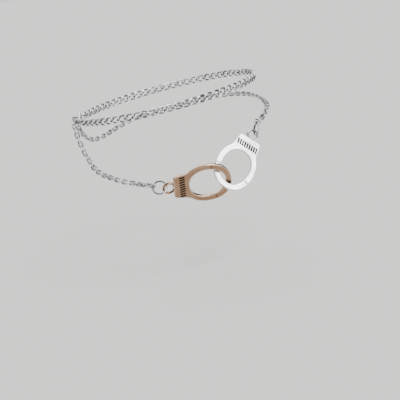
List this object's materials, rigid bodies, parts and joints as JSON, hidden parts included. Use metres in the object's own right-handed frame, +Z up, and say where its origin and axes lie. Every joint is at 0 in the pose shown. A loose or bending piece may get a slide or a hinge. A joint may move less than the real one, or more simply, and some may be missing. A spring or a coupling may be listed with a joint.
{
  "type": "two-strand chain anklet with cuff charms",
  "caption": "Two-strand anklet: a flat curb chain above a drooping fine cable chain that carries a linked pair of open cuff charms at the front.",
  "frame": {"origin": "middle of the upper strand's loop, on the axis of the ankle", "axes": "+Z up along the ankle's axis, -Y to the front where the charms hang, +X to the right of one who looks at the front"},
  "size_m": [0.075, 0.0707, 0.0389],
  "materials": {
    "bright_silver": "polished silver plate",
    "warm_silver": "polished silver plate, tarnished to a warm grey"
  },
  "bodies": {
    "root": {"curb_chain": "bright_silver", "cable_chain_left": "bright_silver", "cable_chain_right": "bright_silver", "jump_ring_left": "bright_silver", "jump_ring_right": "bright_silver", "cuff_left": "warm_silver", "cuff_right": "bright_silver", "join_ring_left": "bright_silver", "join_ring_back": "bright_silver", "clasp": "bright_silver"}
  },
  "joints": []
}
